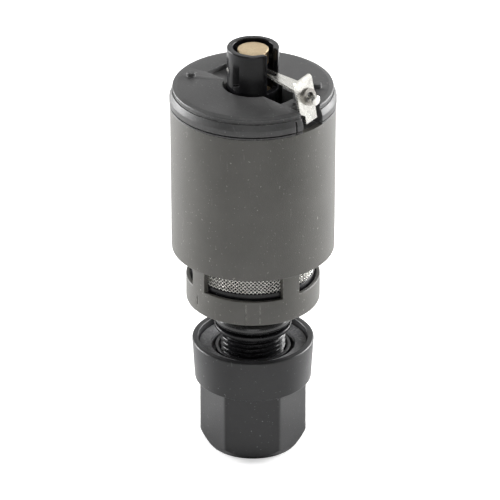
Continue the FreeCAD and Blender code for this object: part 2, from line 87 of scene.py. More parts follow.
def makeObject(name, bm, sharpAngle=32):
    bmesh.ops.recalc_face_normals(bm, faces=bm.faces)
    mesh = bpy.data.meshes.new(name)
    bm.to_mesh(mesh)
    bm.free()
    mesh.shade_smooth()
    mesh.set_sharp_from_angle(angle=math.radians(sharpAngle))
    piece = bpy.data.objects.new(name, mesh)
    scene.collection.objects.link(piece)
    return piece


def lathe(name, outline, steps=144, shape=None, sharpAngle=32):
    # turns a closed outline round the axis; shape(radius, height, angle) may change each radius
    points = roundedOutline(outline)
    bm = bmesh.new()
    rings = []
    for step in range(steps):
        angle = tau * step / steps
        ring = []
        for point in points:
            radius = shape(point.x, point.y, angle) if shape else point.x
            ring.append(bm.verts.new((radius * mm * math.cos(angle), radius * mm * math.sin(angle),
                                      point.y * mm)))
        rings.append(ring)
    for step in range(steps):
        here, there = rings[step], rings[(step + 1) % steps]
        for i in range(len(points)):
            j = (i + 1) % len(points)
            bm.faces.new((here[i], here[j], there[j], there[i]))
    bmesh.ops.remove_doubles(bm, verts=bm.verts, dist=1e-6)
    return makeObject(name, bm, sharpAngle)


def slab(name, outline, low, high):
    # a flat outline of (x, y) corners raised from low to high
    bm = bmesh.new()
    base = [bm.verts.new((x * mm, y * mm, low * mm)) for x, y in outline]
    face = bm.faces.new(base)
    raised = bmesh.ops.extrude_face_region(bm, geom=[face])
    tops = [item for item in raised["geom"] if isinstance(item, bmesh.types.BMVert)]
    bmesh.ops.translate(bm, verts=tops, vec=(0, 0, (high - low) * mm))
    return makeObject(name, bm)


def block(name, x, y, z):
    return slab(name, [(x[0], y[0]), (x[1], y[0]), (x[1], y[1]), (x[0], y[1])], z[0], z[1])


def bar(name, radius, length, at, direction, steps=40, rounding=0.0):
    # a round bar that starts at a point and runs along a direction
    piece = lathe(name, [(0, 0), (radius, 0, rounding), (radius, length, rounding), (0, length)], steps)
    turn = Vector((0, 0, 1)).rotation_difference(Vector(direction)).to_matrix().to_4x4()
    piece.data.transform(Matrix.Translation(Vector(at) * mm) @ turn)
    return piece


def spin(piece, degrees):
    piece.data.transform(Matrix.Rotation(math.radians(degrees), 4, "Z"))
    return piece


def bake(piece):
    # applies what the modifiers make
    graph = bpy.context.evaluated_depsgraph_get()
    mesh = bpy.data.meshes.new_from_object(piece.evaluated_get(graph))
    piece.modifiers.clear()
    piece.data = mesh
    return piece


def combine(piece, tools, operation="DIFFERENCE"):
    for tool in tools:
        change = piece.modifiers.new("combine", "BOOLEAN")
        change.operation = operation
        change.solver = "EXACT"
        change.object = tool
        bake(piece)
        bpy.data.objects.remove(tool)
    return piece


def soften(piece, width, segments=2, angle=38):
    edge = piece.modifiers.new("soften", "BEVEL")
    edge.width = width * mm
    edge.segments = segments
    edge.limit_method = "ANGLE"
    edge.angle_limit = math.radians(angle)
    edge.use_clamp_overlap = True
    bake(piece)
    piece.data.shade_smooth()
    piece.data.set_sharp_from_angle(angle=math.radians(angle))
    return piece


def place(piece, body, slotName, *replaced):
    piece.data.materials.clear()
    piece.data.materials.append(finishes[slotName])
    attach(piece, body)
    if replaced:
        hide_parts(*replaced)
    return piece


# shader groups

def newGroup(name, inputs, outputs):
    group = bpy.data.node_groups.new(name, "ShaderNodeTree")
    for label, kind, value in inputs:
        made = group.interface.new_socket(name=label, in_out="INPUT", socket_type=kind)
        if value is not None:
            made.default_value = value
    for label, kind in outputs:
        group.interface.new_socket(name=label, in_out="OUTPUT", socket_type=kind)
    start = group.nodes.new("NodeGroupInput")
    end = group.nodes.new("NodeGroupOutput")
    return group, start, end


def mathNode(tree, operation, first, second=None, third=None, clamp=False):
    node = tree.nodes.new("ShaderNodeMath")
    node.operation = operation
    node.use_clamp = clamp
    for socket, value in zip(node.inputs, (first, second, third)):
        if value is None:
            continue
        if isinstance(value, (int, float)):
            socket.default_value = value
        else:
            tree.links.new(value, socket)
    return node.outputs[0]


def noiseNode(tree, vector, scale, detail=3.0, roughness=0.55):
    node = tree.nodes.new("ShaderNodeTexNoise")
    node.inputs["Detail"].default_value = detail
    node.inputs["Roughness"].default_value = roughness
    tree.links.new(vector, node.inputs["Vector"])
    if isinstance(scale, (int, float)):
        node.inputs["Scale"].default_value = scale
    else:
        tree.links.new(scale, node.inputs["Scale"])
    return node.outputs["Fac"]


def rangeNode(tree, value, low, high, outLow=0.0, outHigh=1.0):
    node = tree.nodes.new("ShaderNodeMapRange")
    tree.links.new(value, node.inputs["Value"])
    for label, number in (("From Min", low), ("From Max", high), ("To Min", outLow), ("To Max", outHigh)):
        if isinstance(number, (int, float)):
            node.inputs[label].default_value = number
        else:
            tree.links.new(number, node.inputs[label])
    return node.outputs["Result"]


def mixColor(tree, mask, first, second, mode="MIX"):
    node = tree.nodes.new("ShaderNodeMix")
    node.data_type = "RGBA"
    node.blend_type = mode
    sockets = {socket.identifier: socket for socket in node.inputs}
    for label, value in (("Factor_Float", mask), ("A_Color", first), ("B_Color", second)):
        socket = sockets[label]
        if isinstance(value, (int, float)):
            socket.default_value = value
        elif isinstance(value, tuple):
            socket.default_value = value if len(value) == 4 else (*value, 1)
        else:
            tree.links.new(value, socket)
    return next(socket for socket in node.outputs if socket.identifier == "Result_Color")


def mouldedSkinGroup():
    # moulded plastic: fine grain, slow blotches, pale specks and short scuffs
    group, start, end = newGroup(
        "mouldedSkin",
        [("Grain Scale", "NodeSocketFloat", 5000.0), ("Grain Depth", "NodeSocketFloat", 0.3),
         ("Speck Cover", "NodeSocketFloat", 0.04), ("Scuff Cover", "NodeSocketFloat", 0.1)],
        [("Blotch", "NodeSocketFloat"), ("Specks", "NodeSocketFloat"), ("Scuffs", "NodeSocketFloat"),
         ("Grain", "NodeSocketFloat"), ("Normal", "NodeSocketVector")])
    spot = group.nodes.new("ShaderNodeTexCoord").outputs["Object"]
    grain = noiseNode(group, spot, start.outputs["Grain Scale"], 2.0, 0.6)
    blotch = noiseNode(group, spot, 90.0, 5.0, 0.62)
    dust = noiseNode(group, spot, 1900.0, 1.0, 0.4)
    specks = rangeNode(group, dust, mathNode(group, "SUBTRACT", 0.80, start.outputs["Speck Cover"]), 0.80)
    stretch = group.nodes.new("ShaderNodeMapping")
    stretch.inputs["Rotation"].default_value = (0.5, 0.3, 0.8)
    stretch.inputs["Scale"].default_value = (1.0, 6.0, 0.35)
    group.links.new(spot, stretch.inputs["Vector"])
    lines = noiseNode(group, stretch.outputs["Vector"], 420.0, 4.0, 0.7)
    scuffs = rangeNode(group, lines, mathNode(group, "SUBTRACT", 0.78, start.outputs["Scuff Cover"]), 0.82)
    bump = group.nodes.new("ShaderNodeBump")
    bump.inputs["Distance"].default_value = 0.05 * mm
    group.links.new(start.outputs["Grain Depth"], bump.inputs["Strength"])
    group.links.new(mathNode(group, "SUBTRACT", grain, mathNode(group, "MULTIPLY", scuffs, 0.5)),
                    bump.inputs["Height"])
    for label, value in (("Blotch", blotch), ("Specks", specks), ("Scuffs", scuffs), ("Grain", grain),
                         ("Normal", bump.outputs["Normal"])):
        group.links.new(value, end.inputs[label])
    return group


def rubbedEdgeGroup():
    # 1 on sharp outer edges, broken up by noise
    group, start, end = newGroup(
        "rubbedEdge", [("Width", "NodeSocketFloat", 0.0003), ("Break Up", "NodeSocketFloat", 900.0)],
        [("Mask", "NodeSocketFloat")])
    bevel = group.nodes.new("ShaderNodeBevel")
    bevel.samples = 6
    group.links.new(start.outputs["Width"], bevel.inputs["Radius"])
    geometry = group.nodes.new("ShaderNodeNewGeometry")
    spot = group.nodes.new("ShaderNodeTexCoord").outputs["Object"]
    dot = group.nodes.new("ShaderNodeVectorMath")
    dot.operation = "DOT_PRODUCT"
    group.links.new(bevel.outputs["Normal"], dot.inputs[0])
    group.links.new(geometry.outputs["True Normal"], dot.inputs[1])
    edge = rangeNode(group, dot.outputs["Value"], 0.985, 0.86)
    broken = rangeNode(group, noiseNode(group, spot, start.outputs["Break Up"], 4.0), 0.38, 0.6)
    group.links.new(mathNode(group, "MULTIPLY", edge, broken, clamp=True), end.inputs["Mask"])
    return group


def brushedMetalGroup():
    # fine lines drawn along one axis, with wider bands and small pits
    group, start, end = newGroup(
        "brushedMetal",
        [("Stretch", "NodeSocketVector", (1.0, 1.0, 1.0)), ("Line Scale", "NodeSocketFloat", 3000.0),
         ("Line Depth", "NodeSocketFloat", 0.2)],
        [("Lines", "NodeSocketFloat"), ("Bands", "NodeSocketFloat"), ("Pits", "NodeSocketFloat"),
         ("Normal", "NodeSocketVector")])
    spot = group.nodes.new("ShaderNodeTexCoord").outputs["Object"]
    scaled = group.nodes.new("ShaderNodeVectorMath")
    scaled.operation = "MULTIPLY"
    group.links.new(spot, scaled.inputs[0])
    group.links.new(start.outputs["Stretch"], scaled.inputs[1])
    lines = noiseNode(group, scaled.outputs["Vector"], start.outputs["Line Scale"], 4.0, 0.7)
    bands = noiseNode(group, scaled.outputs["Vector"], 500.0, 3.0, 0.6)
    pits = rangeNode(group, noiseNode(group, spot, 2600.0, 2.0, 0.5), 0.62, 0.74)
    bump = group.nodes.new("ShaderNodeBump")
    bump.inputs["Distance"].default_value = 0.03 * mm
    group.links.new(start.outputs["Line Depth"], bump.inputs["Strength"])
    group.links.new(mathNode(group, "SUBTRACT", lines, pits), bump.inputs["Height"])
    for label, value in (("Lines", lines), ("Bands", bands), ("Pits", pits),
                         ("Normal", bump.outputs["Normal"])):
        group.links.new(value, end.inputs[label])
    return group


groups = {"mouldedSkin": mouldedSkinGroup(), "rubbedEdge": rubbedEdgeGroup(),
          "brushedMetal": brushedMetalGroup()}
print("shader groups made")


def startMaterial(name):
    material = bpy.data.materials.new(name)
    material.use_nodes = True
    tree = material.node_tree
    return material, tree, tree.nodes["Principled BSDF"]


def useGroup(tree, name, **values):
    node = tree.nodes.new("ShaderNodeGroup")
    node.node_tree = groups[name]
    for label, value in values.items():
        node.inputs[label.replace("_", " ")].default_value = value
    return node


def mouldedPlastic(name, dark, light, pale, rough, grainScale, grainDepth, specks, scuffs, rubbed=0.4,
                   coat=0.0, specular=0.5):
    # dark and light are the two tones of the plastic, pale is what rubbed edges and scuffs turn to
    material, tree, shader = startMaterial(name)
    skin = useGroup(tree, "mouldedSkin", Grain_Scale=grainScale, Grain_Depth=grainDepth, Speck_Cover=specks,
                    Scuff_Cover=scuffs)
    edge = useGroup(tree, "rubbedEdge")
    tone = mixColor(tree, rangeNode(tree, skin.outputs["Blotch"], 0.3, 0.7), dark, light)
    grainy = mixColor(tree, rangeNode(tree, skin.outputs["Grain"], 0.3, 0.7, 0.0, 0.35), tone, light)
    marks = mathNode(tree, "ADD", mathNode(tree, "MULTIPLY", skin.outputs["Specks"], 0.55),
                     mathNode(tree, "MULTIPLY", skin.outputs["Scuffs"], 0.35))
    worn = mathNode(tree, "ADD", marks, mathNode(tree, "MULTIPLY", edge.outputs["Mask"], rubbed), clamp=True)
    tree.links.new(mixColor(tree, worn, grainy, pale), shader.inputs["Base Color"])
    roughness = rangeNode(tree, skin.outputs["Blotch"], 0.25, 0.75, rough - 0.06, rough + 0.06)
    tree.links.new(mathNode(tree, "ADD", roughness, mathNode(tree, "MULTIPLY", skin.outputs["Scuffs"], 0.15)),
                   shader.inputs["Roughness"])
    tree.links.new(skin.outputs["Normal"], shader.inputs["Normal"])
    shader.inputs["Coat Weight"].default_value = coat
    shader.inputs["Coat Roughness"].default_value = 0.12
    shader.inputs["Specular IOR Level"].default_value = specular
    return material


def metal(name, bright, dull, rough, stretch, lineScale=3000.0, lineDepth=0.25, pits=0.3):
    material, tree, shader = startMaterial(name)
    surface = useGroup(tree, "brushedMetal", Stretch=stretch, Line_Scale=lineScale, Line_Depth=lineDepth)
    shader.inputs["Metallic"].default_value = 1.0
    tone = mixColor(tree, rangeNode(tree, surface.outputs["Bands"], 0.3, 0.7), bright, dull)
    lined = mixColor(tree, rangeNode(tree, surface.outputs["Lines"], 0.35, 0.7, 0.0, 0.5), tone, dull)
    tree.links.new(mixColor(tree, mathNode(tree, "MULTIPLY", surface.outputs["Pits"], pits), lined,
                            (0.10, 0.09, 0.08)), shader.inputs["Base Color"])
    tree.links.new(rangeNode(tree, surface.outputs["Lines"], 0.3, 0.7, rough - 0.08, rough + 0.1),
                   shader.inputs["Roughness"])
    tree.links.new(surface.outputs["Normal"], shader.inputs["Normal"])
    return material


finishes = {
    "float_plastic": mouldedPlastic("floatPlastic", (0.052, 0.050, 0.042), (0.082, 0.079, 0.070),
                                    (0.36, 0.35, 0.32), 0.46, 3600.0, 0.8, 0.09, 0.14, 0.6, specular=0.7),
    "lid_plastic": mouldedPlastic("lidPlastic", (0.046, 0.046, 0.046), (0.080, 0.080, 0.080),
                                  (0.30, 0.30, 0.30), 0.44, 3600.0, 0.8, 0.08, 0.18, 0.5, specular=0.45),
    "black_nylon": mouldedPlastic("glossBlackNylon", (0.004, 0.004, 0.005), (0.009, 0.009, 0.010),
                                  (0.20, 0.20, 0.21), 0.22, 3800.0, 0.16, 0.02, 0.06, 0.35, specular=0.35),
    "satin_nylon": mouldedPlastic("satinBlackNylon", (0.006, 0.006, 0.007), (0.015, 0.015, 0.016),
                                  (0.24, 0.24, 0.25), 0.36, 4200.0, 0.5, 0.08, 0.10, 0.4, specular=0.5),
    "rubber": mouldedPlastic("glossRubber", (0.008, 0.008, 0.008), (0.014, 0.014, 0.014),
                             (0.10, 0.10, 0.10), 0.24, 3000.0, 0.12, 0.02, 0.03, 0.1, coat=0.3),
    "washer_rubber": mouldedPlastic("stippledWasher", (0.07, 0.07, 0.075), (0.34, 0.34, 0.35),
                                    (0.55, 0.55, 0.56), 0.6, 2200.0, 1.0, 0.3, 0.1, 0.2),
    "stainless": metal("stampedStainless", (0.83, 0.82, 0.78), (0.60, 0.59, 0.55), 0.26, (0.25, 2.0, 1.0)),
    "mesh_steel": metal("wovenSteel", (0.92, 0.91, 0.87), (0.66, 0.65, 0.61), 0.26, (1.0, 1.0, 1.0)),
    "spring_steel": metal("springWire", (0.46, 0.44, 0.41), (0.26, 0.25, 0.23), 0.35, (1.0, 1.0, 0.5)),
    "brass": metal("turnedBrass", (0.80, 0.66, 0.44), (0.66, 0.51, 0.32), 0.42, (1.0, 1.0, 0.2), 2600.0, 0.3),
}
print("materials made")


# float shell

floatSize = {"base": 56.3, "top": 96.3, "baseRadius": 20.8, "topRadius": 21.0, "wall": 1.5, "bore": 7.7,
             "tube": 9.0, "tubeTop": 94.9}


def floatShell():
    f = floatSize
    shell = lathe("floatShell", [
        (f["bore"], f["base"], 0.3), (f["baseRadius"], f["base"], 0.55), (f["topRadius"], f["top"], 0.12),
        (f["topRadius"] - f["wall"], f["top"]), (f["baseRadius"] - f["wall"], f["base"] + f["wall"], 1.0),
        (f["tube"], f["base"] + f["wall"]), (f["tube"], f["tubeTop"]), (f["bore"], f["tubeTop"])], 200)
    place(shell, "float", "float_plastic", "float_shell")


# float lid

lidSize = {"deck": 101.9, "under": 100.1, "flange": 21.15, "lipTop": 96.8, "wallBase": 97.15,
           "wallBend": 98.7, "wallTop": 100.25, "groove": 20.15, "beadBase": 101.2, "base": 96.3,
           "shoulder": 20.45, "skirt": 19.45, "collar": 9.0, "above": 110, "well": 94.9,
           "slotHalf": 3.4, "slotEnd": 13.2, "nearFloor": 90.0, "farFloor": 100.5,
           "notchStart": 16.4, "notchNear": -3.25, "notchFar": 3.8, "notchFloor": 96.2, "pegPitch": 16.3,
           "pegAngles": (-151, 38), "pegRadius": 1.1, "pegTop": 103.0, "slitAngle": -14.6, "postTop": 105.4}


def floatLid():
    d = lidSize
    bore = floatSize["bore"]
    lid = lathe("floatLid", [
        (bore, d["well"]), (d["collar"], d["well"]), (d["collar"], d["under"]),
        (d["skirt"] - 1.1, d["under"]),
        (d["skirt"] - 1.1, d["well"]), (d["skirt"], d["well"]), (d["skirt"], d["base"] + 0.12),
        (d["flange"] - 0.05, d["base"] + 0.12, 0.1), (d["flange"] - 0.05, d["lipTop"], 0.1),
        (d["groove"], d["lipTop"]), (d["groove"], d["wallBase"]), (d["flange"], d["wallBase"], 0.15),
        (d["flange"], d["wallBend"], 0.3), (d["shoulder"] + 0.1, d["wallTop"], 0.1),
        (d["groove"], d["wallTop"] + 0.05), (d["groove"], d["beadBase"] - 0.05),
        (d["shoulder"], d["beadBase"], 0.12), (d["shoulder"] - 0.15, d["deck"] - 0.3, 0.25),
        (d["shoulder"] - 1.3, d["deck"], 1.1), (bore, d["deck"], 0.15)], 200)
    wellHalf = d["slotHalf"] + 1.2
    additions = [
        block("leverWell", (bore + 0.1, d["slotEnd"] + 1.2), (-wellHalf, wellHalf),
              (d["nearFloor"] - 1.2, d["deck"] - 0.5)),
        block("farWell", (-d["slotEnd"] - 1.2, -bore - 0.6), (-wellHalf, wellHalf),
              (d["farFloor"] - 1.4, d["deck"] - 0.5)),
        block("notchWell", (d["notchStart"] - 1.2, d["skirt"] - 0.5),
              (d["notchNear"] - 1.2, d["notchFar"] + 1.2), (d["well"], d["deck"] - 0.5))]
    combine(lid, additions, "UNION")
    cuts = [
        block("nearSlot", (0, d["slotEnd"]), (-d["slotHalf"], d["slotHalf"]), (d["nearFloor"], d["above"])),
        block("farSlot", (-d["slotEnd"], 0), (-d["slotHalf"], d["slotHalf"]), (d["farFloor"], d["above"])),
        lathe("centreCut", [(0, 85), (bore, 85), (bore, d["above"]), (0, d["above"])], 200),
        block("notch", (d["notchStart"], 40), (d["notchNear"], d["notchFar"]), (d["notchFloor"], d["above"])),
        spin(block("slit", (d["flange"] - 1.3, 30), (0, 0.5), (d["base"] - 0.3, d["wallTop"] - 0.3)),
             d["slitAngle"])]
    combine(lid, cuts)
    extras = [block("pinPost", (14.7, 16.2), (-0.5, 1.9), (d["deck"] - 1, d["postTop"]))]
    for angle in d["pegAngles"]:
        peg = bar("peg", d["pegRadius"], d["pegTop"] - d["deck"] + 1, (d["pegPitch"], 0, d["deck"] - 1),
                  (0, 0, 1), 32, 0.25)
        extras.append(spin(peg, angle))
    combine(lid, extras, "UNION")
    soften(lid, 0.14)
    place(lid, "float", "lid_plastic", "float_lid")


# guide tube and what sits in it

tubeSize = {"radius": 6.6, "bore": 5.1, "top": 112.3, "boreFloor": 94.7, "airBore": 4.0, "flangeBase": 53.8,
            "flangeTop": 55.0, "flangeRadius": 10.6, "slotFloor": 101.7, "slotNear": -1.45, "slotFar": 3.05,
            "ventHeight": 103.7}


def guideTube():
    d = tubeSize
    tube = lathe("guideTube", [
        (d["airBore"], d["flangeBase"]), (d["flangeRadius"], d["flangeBase"], 0.1),
        (d["flangeRadius"], d["flangeTop"], 0.1), (d["radius"], d["flangeTop"]),
        (d["radius"], d["top"], 0.3), (d["bore"], d["top"], 0.22), (d["bore"], d["boreFloor"]),
        (d["airBore"], d["boreFloor"])], 128)
    vent = block("vent", (4.5, 9), (-1.05, 1.05), (-0.22, 0.22))
    vent.data.transform(Matrix.Rotation(math.radians(20), 4, "X"))
    vent.data.transform(Matrix.Translation((0, 0, d["ventHeight"] * mm)))
    combine(tube, [
        block("slot", (0, 9), (d["slotNear"], d["slotFar"]), (d["slotFloor"], 120)),
        spin(vent, -86),
        bar("pinHole", 0.6, 16, (-3.2, -8, 106.65), (0, 1, 0), 32)])
    soften(tube, 0.12)
    place(tube, "valve_body", "black_nylon", "guide_tube")


plungerSize = {"pad": 1.9, "padTop": 101.7, "footBase": 100.8, "foot": 2.22, "footTop": 102.9, "stem": 0.6,
               "collar": 1.3, "collarBase": 107.05, "headBase": 108.0, "head": 3.95, "top": 111.75}


def brassPlunger():
    d = plungerSize
    plunger = lathe("brassPlunger", [
        (0, d["padTop"]), (d["pad"], d["padTop"]), (d["pad"], d["footBase"]),
        (d["foot"], d["footBase"], 0.1), (d["foot"], d["footTop"], 0.15), (d["stem"], d["footTop"]),
        (d["stem"], d["collarBase"]), (d["collar"], d["collarBase"], 0.08), (d["collar"], d["headBase"]),
        (d["head"], d["headBase"], 0.25), (d["head"], d["top"], 0.28), (0, d["top"])], 96)
    place(plunger, "plunger", "brass", "brass_plunger")


# lever, its end plate and eyelet

leverSize = {"pivotX": -3.2, "z": 106.65, "thick": 0.7, "plateX": 16.9, "plateTop": 109.7, "lean": 13,
             "plateThick": 0.7, "pinZ": 104.35, "pinY": 0.7}


def onPlate(piece):
    # from flat on the YZ plane, top edge at height 0, to the leaning plate's place
    d = leverSize
    lean = Matrix.Rotation(math.radians(-d["lean"]), 4, "Y")
    piece.data.transform(Matrix.Translation(Vector((d["plateX"], 0, d["plateTop"])) * mm) @ lean)
    return piece


def floatLever():
    d = leverSize
    low, high = d["z"] - d["thick"] / 2, d["z"] + d["thick"] / 2
    lever = slab("floatLever", [
        (d["pivotX"], -1.3), (6.8, -1.3), (17.5, -3.0), (17.5, 1.8), (6.8, 1.3), (d["pivotX"], 1.3),
        (d["pivotX"], 0.7), (7.9, 0.7), (8.4, 0.3), (8.4, -0.3), (7.9, -0.7), (d["pivotX"], -0.7)], low, high)
    face = slab("plate", [
        (-3.0, 8.8), (-2.9, 9.05), (-1.5, 9.9), (-1.4, 10.2), (-1.4, 12.1), (2.5, 11.5), (2.5, 9.0),
        (3.0, 6.6), (3.0, 0.9), (2.4, 0), (-2.8, 0.95), (-3.0, 1.25)], 0, d["plateThick"])
    # the plate's outline is drawn as (across, down) and stood up
    face.data.transform(Matrix(((0, 0, 1, 0), (1, 0, 0, 0), (0, -1, 0, 0), (0, 0, 0, 1))))
    onPlate(face)
    eyes = [bar("eye", 1.1, 0.6, (d["pivotX"], near, d["z"]), (0, 1, 0), 36) for near in (-1.3, 0.7)]
    combine(lever, [face] + eyes, "UNION")
    holes = [bar("eyeHole", 0.65, 6, (d["pivotX"], -3, d["z"]), (0, 1, 0), 32),
             plateBar("plateHole", eyeletSize["barrel"], -3, 6)]
    combine(lever, holes)
    soften(lever, 0.1)
    place(lever, "lever", "stainless", "float_lever")


def plateBar(name, radius, start, length):
    # a round bar square to the plate, centred on the float pin's line
    d = leverSize
    down = (d["plateTop"] - d["pinZ"]) / math.cos(math.radians(d["lean"]))
    return onPlate(bar(name, radius, length, (start, d["pinY"], -down), (1, 0, 0), 48, 0.0))


eyeletSize = {"outer": 2.2, "thick": 0.6, "barrel": 1.65, "bore": 1.25}


def leverEyelet():
    d = eyeletSize
    plate = leverSize["plateThick"]
    ring = plateBar("leverEyelet", d["outer"], plate, d["thick"])
    combine(ring, [plateBar("barrel", d["barrel"], -0.1, plate + 0.2)], "UNION")
    combine(ring, [plateBar("bore", d["bore"], -3, 6)])
    soften(ring, 0.18, 3)
    place(ring, "lever", "spring_steel", "lever_eyelet")


pinSize = {"start": 14.9, "shank": 0.5, "headStart": 20.35, "head": 1.3, "end": 21.8}


def floatPin():
    d = pinSize
    pin = lathe("floatPin", [
        (0, d["start"]), (d["shank"], d["start"], 0.1), (d["shank"], d["headStart"]),
        (d["head"], d["headStart"], 0.15), (d["head"], d["end"], 0.3), (0, d["end"])], 48)
    pin.data.transform(Matrix.Translation(Vector((0, leverSize["pinY"], leverSize["pinZ"])) * mm)
                       @ Matrix.Rotation(math.radians(90), 4, "Y"))
    place(pin, "float", "stainless", "float_pin")


# strainer cage and woven mesh

cageSize = {"base": 41.7, "floor": 43.2, "radius": 17.15, "inner": 15.85, "ringTop": 48.6, "plateBase": 55.0,
            "plateTop": 56.2, "hole": 6.92, "plateHole": 6.63, "postWidth": 5.0, "turn": -10}


def strainerCage():
    d = cageSize
    cage = lathe("strainerCage", [
        (d["hole"], d["base"]), (d["radius"], d["base"], 0.7), (d["radius"], d["ringTop"], 0.25),
        (d["inner"] + 0.35, d["ringTop"], 0.1), (d["inner"] + 0.35, d["ringTop"] - 0.9),
        (d["inner"], d["ringTop"] - 0.9), (d["inner"], d["floor"]), (d["hole"], d["floor"])], 160)
    plate = lathe("cagePlate", [(d["plateHole"], d["plateBase"]), (d["radius"], d["plateBase"], 0.15),
                                (d["radius"], d["plateTop"], 0.25), (d["plateHole"], d["plateTop"])], 160)
    band = lathe("postBand", [(d["inner"] + 0.05, d["ringTop"] - 1.2), (d["radius"], d["ringTop"] - 1.2),
                              (d["radius"], d["plateBase"] + 0.5), (d["inner"] + 0.05, d["plateBase"] + 0.5)],
                 160)
    half = d["postWidth"] / 2
    keepers = [spin(block("keeper", (10, 20), (-half, half), (40, 60)), d["turn"] + 90 * k) for k in range(4)]
    posts = keepers[0]
    combine(posts, keepers[1:], "UNION")
    combine(band, [posts], "INTERSECT")
    combine(cage, [band, plate], "UNION")
    # a short slit, and the two sides of a shallow panel
    marks = [spin(block("ringSlit", (d["radius"] - 0.5, 20), (-0.2, 0.2), (43.9, 46.6)), -101)]
    marks += [spin(block("panelSide", (d["radius"] - 0.12, 20), (-0.09, 0.09), (42.4, 47.8)), -45 + side * 6)
              for side in (-1, 1)]
    combine(cage, marks)
    soften(cage, 0.12)
    place(cage, "valve_body", "float_plastic", "strainer_cage")


hoopSize = {"inner": 15.1, "outer": 15.75, "low": 43.2, "top": 50.1}


# a black hoop at the mesh's foot: partly the mesh's moulded frame, partly painted shade, a dark band put
# where the float above and the ring's lip leave the mesh's foot in shadow
def strainerHoop():
    d = hoopSize
    hoop = lathe("strainerHoop", [(d["inner"], d["low"]), (d["outer"], d["low"]), (d["outer"], d["top"], 0.2),
                                  (d["inner"], d["top"], 0.2)], 160)
    place(hoop, "valve_body", "black_nylon", "strainer_hoop")


meshSize = {"radius": 15.37, "wire": 0.125, "weave": 0.08, "wires": 96, "low": 50.1, "high": 54.95}


def strainerMesh():
    # two families of wires at 45 degrees that pass over and under each other
    d = meshSize
    height = d["high"] - d["low"]
    sweep = height / d["radius"]
    crossings = sweep * 2 * d["wires"] / tau
    rows = int(crossings * 4)
    bm = bmesh.new()
    for family in (1, -1):
        for wire in range(d["wires"]):
            rings = []
            for row in range(rows + 1):
                t = row / rows
                angle = tau * wire / d["wires"] + family * sweep * t
                # every second crossing is over, and the next wire starts the other way
                other = (angle + family * sweep * t) * d["wires"] / tau
                radius = d["radius"] + family * d["weave"] * math.cos(math.pi * (other + wire))
                centre = Vector((math.cos(angle), math.sin(angle), 0))
                along = Vector((-math.sin(angle) * family, math.cos(angle) * family, 1)).normalized()
                across = along.cross(centre)
                ring = []
                for corner in range(5):
                    turn = tau * corner / 5
                    offset = centre * math.cos(turn) + across * math.sin(turn)
                    vertexSpot = centre * radius + Vector((0, 0, d["low"] + height * t)) + offset * d["wire"]
                    ring.append(bm.verts.new(vertexSpot * mm))
                rings.append(ring)
            for row in range(rows):
                for corner in range(5):
                    after = (corner + 1) % 5
                    bm.faces.new((rings[row][corner], rings[row][after], rings[row + 1][after],
                                  rings[row + 1][corner]))
            bm.faces.new(rings[0])
            bm.faces.new(rings[-1])
    weave = makeObject("strainerMesh", bm, 80)
    place(weave, "valve_body", "mesh_steel", "strainer_mesh")


# stem, neck seal, washer and nut

stemSize = {"major": 8.33, "minor": 7.55, "pitch": 1.337, "foot": 15.5, "threadTop": 32.3, "flangeBase": 33.3,
            "flangeTop": 34.35, "flange": 9.9, "neck": 6.6, "neckTop": 38.0, "shoulder": 8.9,
            "shoulderTop": 41.7,
            "spigot": 6.9, "top": 45.2, "rodBore": 3.6, "poppetBore": 5.4, "seatTop": 26.0}


def threadRadius(radius, height, angle):
    # a rounded right-hand pipe thread on the stem's outside
    d = stemSize
    if radius < d["major"] - 0.01 or radius > d["major"] + 0.01 or height > d["threadTop"]:
        return radius
    phase = (height / d["pitch"] - angle / tau) % 1
    flank = abs(2 * phase - 1)
    shaped = min(1, max(0, 1.35 * flank - 0.175))
    shaped = shaped * shaped * (3 - 2 * shaped)
    fade = min(1, (d["threadTop"] - height) / 0.8) * min(1, (height - d["foot"]) / 0.8)
    depth = (d["major"] - d["minor"]) * shaped
    return d["major"] - depth * max(0, fade) - 0.35 * (1 - max(0, fade))


def drainStem():
    d = stemSize
    rows = int((d["threadTop"] - d["foot"]) / 0.12)
    thread = [(d["major"], d["foot"] + (d["threadTop"] - d["foot"]) * row / rows) for row in range(rows + 1)]
    stem = lathe("drainStem", [(d["poppetBore"], d["foot"])] + thread + [
        (d["minor"], d["threadTop"] + 0.1), (d["minor"], d["flangeBase"]),
        (d["flange"], d["flangeBase"], 0.25),
        (d["flange"], d["flangeTop"], 0.25), (d["neck"], d["flangeTop"]), (d["neck"], d["neckTop"]),
        (d["shoulder"], d["neckTop"], 0.3), (d["shoulder"], d["shoulderTop"]),
        (d["spigot"], d["shoulderTop"]),
        (d["spigot"], d["top"], 0.3), (d["rodBore"], d["top"]), (d["rodBore"], d["seatTop"]),
        (d["poppetBore"], d["seatTop"])], 144, threadRadius, 40)
    place(stem, "valve_body", "black_nylon", "drain_stem")


sealSize = {"centre": 8.32, "section": 1.7, "z": 36.12, "corners": 28}


def neckSeal():
    d = sealSize
    ring = [(d["centre"] + d["section"] * math.cos(tau * k / d["corners"]),
             d["z"] + d["section"] * math.sin(tau * k / d["corners"])) for k in range(d["corners"])]
    seal = lathe("neckSeal", ring, 128, None, 80)
    place(seal, "valve_body", "rubber", "neck_seal")


washerSize = {"inner": 10.8, "outer": 13.9, "low": 27.05, "top": 28.15}


def bowlWasher():
    d = washerSize
    washer = lathe("bowlWasher", [(d["inner"], d["low"]), (d["outer"], d["low"], 0.15),
                                  (d["outer"], d["top"], 0.25), (d["inner"], d["top"], 0.25)], 160)
    place(washer, "nut_carriage", "washer_rubber", "bowl_washer")


